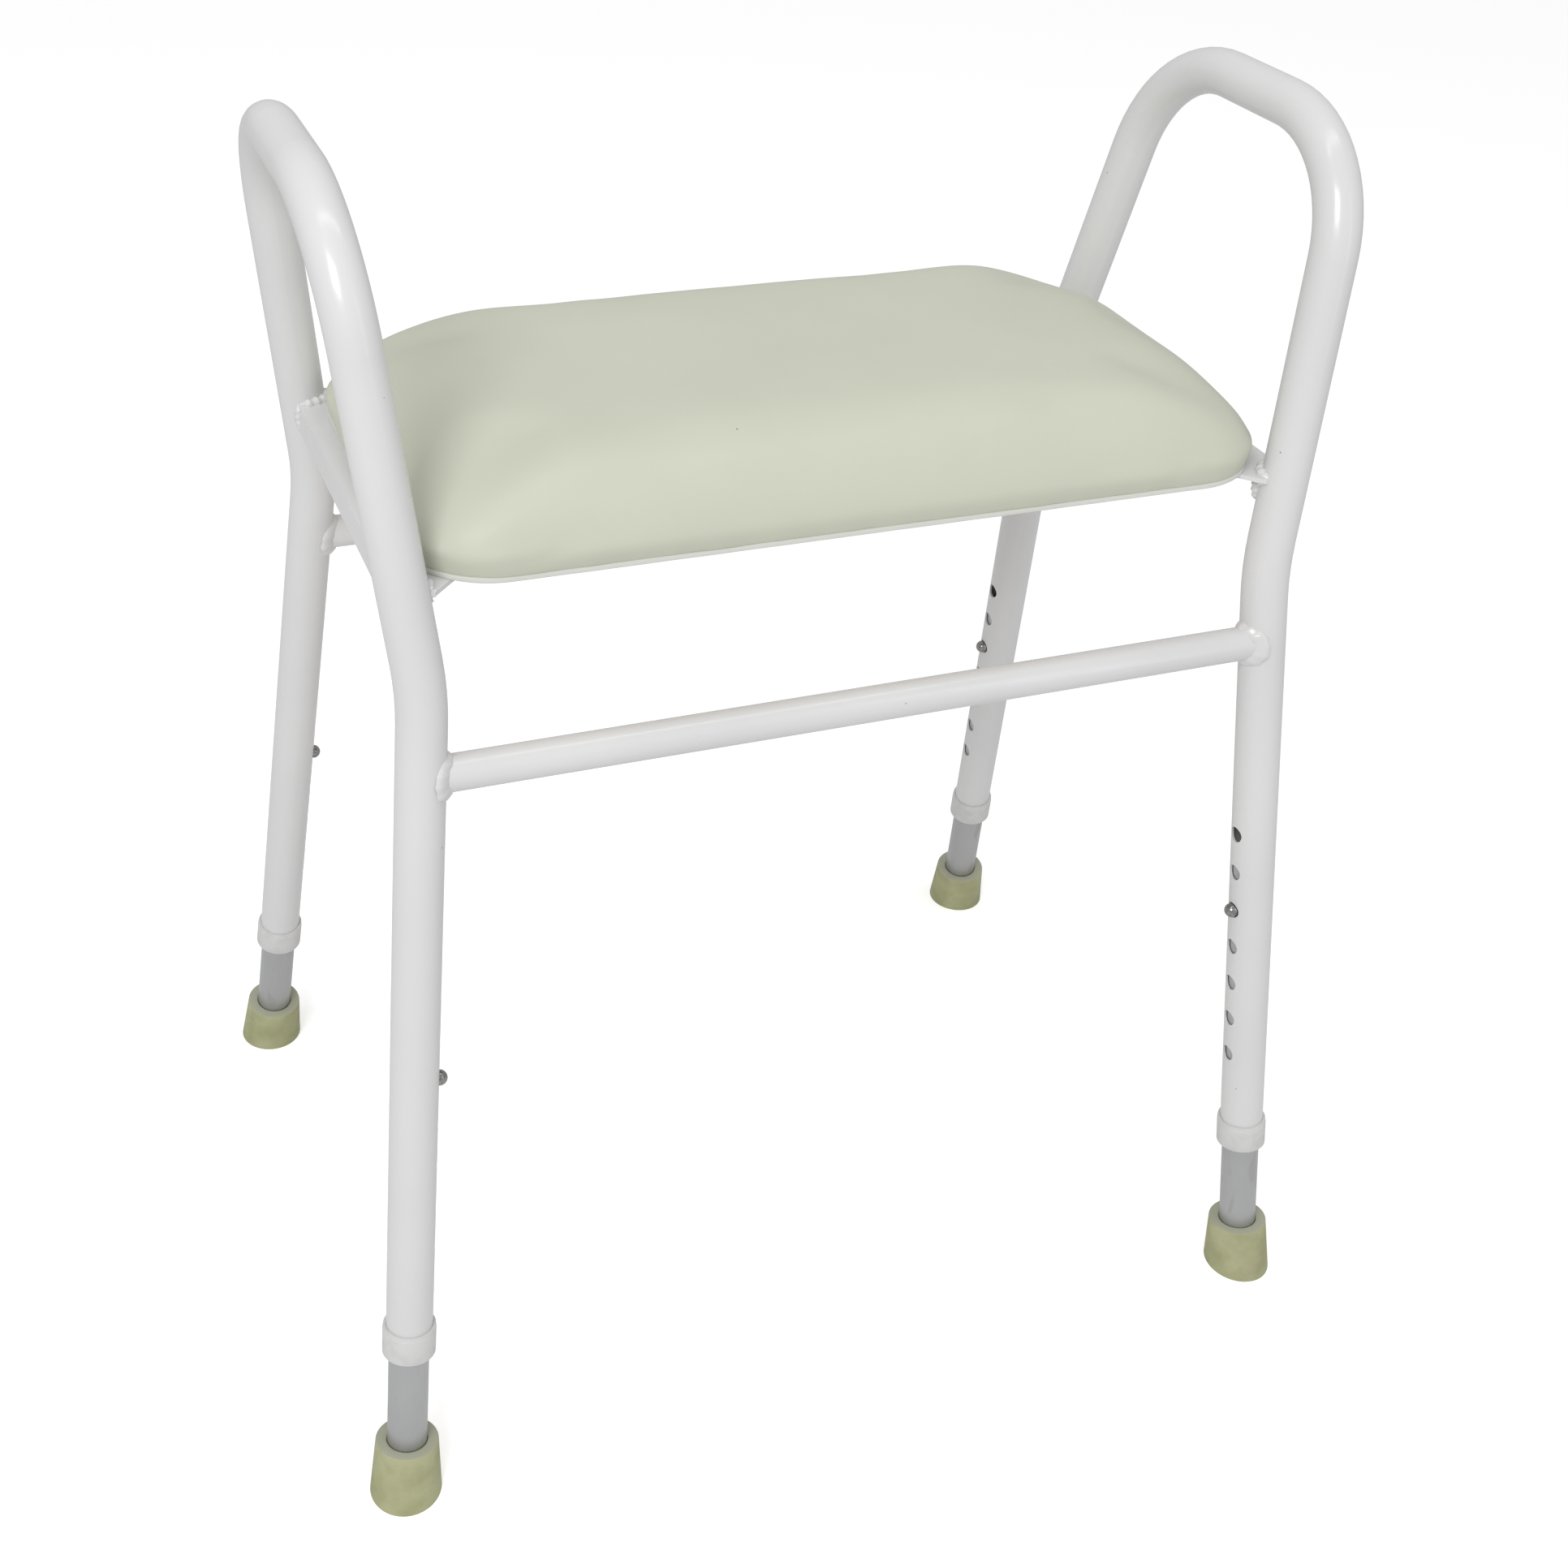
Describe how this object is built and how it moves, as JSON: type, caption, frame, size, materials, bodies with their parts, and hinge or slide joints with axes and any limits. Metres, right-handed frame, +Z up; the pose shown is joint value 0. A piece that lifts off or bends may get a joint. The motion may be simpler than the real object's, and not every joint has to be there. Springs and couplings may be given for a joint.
{
  "type": "shower stool",
  "caption": "Backless padded shower stool on two bent-tube side frames whose tops form arms, with crossbars and telescoping legs that lock with snap buttons and stand on rubber ferrules.",
  "frame": {"origin": "on the floor, under the middle of the seat, with the legs at their rest setting", "axes": "+Z up, +X across the seat from one side frame to the other, +Y to the back"},
  "size_m": [0.5874, 0.438, 0.713],
  "materials": {
    "powder_coat": "smooth gloss light-grey white powder coat",
    "leg_aluminium": "satin anodised",
    "collar_plastic": "satin moulded white nylon",
    "ferrule_rubber": "matt aged yellow-green rubber",
    "button_steel": "polished steel",
    "spring_steel": "dull spring steel",
    "zinc_steel": "zinc plated",
    "plywood": "plain sanded",
    "foam": "open-cell foam",
    "seat_vinyl": "smooth matt vinyl with a fine grain",
    "piping_vinyl": "smooth vinyl edge"
  },
  "bodies": {
    "frame": {"side_frame_left": "powder_coat", "side_frame_right": "powder_coat", "crossbar_front": "powder_coat", "crossbar_back": "powder_coat", "crossbar_welds_front": "powder_coat", "crossbar_welds_back": "powder_coat", "seat_rail_left": "powder_coat", "seat_rail_right": "powder_coat", "rail_welds_left": "powder_coat", "rail_welds_right": "powder_coat", "seat_board": "plywood", "seat_foam": "foam", "seat_cover": "seat_vinyl", "seat_piping": "piping_vinyl", "hem_staples": "zinc_steel", "seat_screws": "zinc_steel", "seat_washers": "zinc_steel", "tee_nuts": "zinc_steel", "collar_front_left": "collar_plastic", "collar_front_right": "collar_plastic", "collar_back_left": "collar_plastic", "collar_back_right": "collar_plastic"},
    "leg_front_left": {"leg_tube_front_left": "leg_aluminium", "ferrule_front_left": "ferrule_rubber", "ferrule_washer_front_left": "zinc_steel", "spring_clip_front_left": "spring_steel"},
    "button_front_left": {"snap_button_front_left": "button_steel"},
    "leg_front_right": {"leg_tube_front_right": "leg_aluminium", "ferrule_front_right": "ferrule_rubber", "ferrule_washer_front_right": "zinc_steel", "spring_clip_front_right": "spring_steel"},
    "button_front_right": {"snap_button_front_right": "button_steel"},
    "leg_back_left": {"leg_tube_back_left": "leg_aluminium", "ferrule_back_left": "ferrule_rubber", "ferrule_washer_back_left": "zinc_steel", "spring_clip_back_left": "spring_steel"},
    "button_back_left": {"snap_button_back_left": "button_steel"},
    "leg_back_right": {"leg_tube_back_right": "leg_aluminium", "ferrule_back_right": "ferrule_rubber", "ferrule_washer_back_right": "zinc_steel", "spring_clip_back_right": "spring_steel"},
    "button_back_right": {"snap_button_back_right": "button_steel"}
  },
  "joints": [
    {"name": "leg_height_front_left", "type": "slide", "parent": "frame", "child": "leg_front_left", "axis": [-0.0755, -0.1543, -0.9851], "range_m": [-0.0508, 0.1016]},
    {"name": "button_press_front_left", "type": "slide", "parent": "leg_front_left", "child": "button_front_left", "axis": [-0.9971, 0.0117, 0.0746], "range_m": [0, 0.006], "stiffness_N_per_m": 1500, "deforming": ["spring_clip_front_left"]},
    {"name": "leg_height_front_right", "type": "slide", "parent": "frame", "child": "leg_front_right", "axis": [0.0755, -0.1543, -0.9851], "range_m": [-0.0508, 0.1016]},
    {"name": "button_press_front_right", "type": "slide", "parent": "leg_front_right", "child": "button_front_right", "axis": [0.9971, 0.0117, 0.0746], "range_m": [0, 0.006], "stiffness_N_per_m": 1500, "deforming": ["spring_clip_front_right"]},
    {"name": "leg_height_back_left", "type": "slide", "parent": "frame", "child": "leg_back_left", "axis": [-0.0755, 0.1543, -0.9851], "range_m": [-0.0508, 0.1016]},
    {"name": "button_press_back_left", "type": "slide", "parent": "leg_back_left", "child": "button_back_left", "axis": [-0.9971, -0.0117, 0.0746], "range_m": [0, 0.006], "stiffness_N_per_m": 1500, "deforming": ["spring_clip_back_left"]},
    {"name": "leg_height_back_right", "type": "slide", "parent": "frame", "child": "leg_back_right", "axis": [0.0755, 0.1543, -0.9851], "range_m": [-0.0508, 0.1016]},
    {"name": "button_press_back_right", "type": "slide", "parent": "leg_back_right", "child": "button_back_right", "axis": [0.9971, -0.0117, 0.0746], "range_m": [0, 0.006], "stiffness_N_per_m": 1500, "deforming": ["spring_clip_back_right"]}
  ]
}
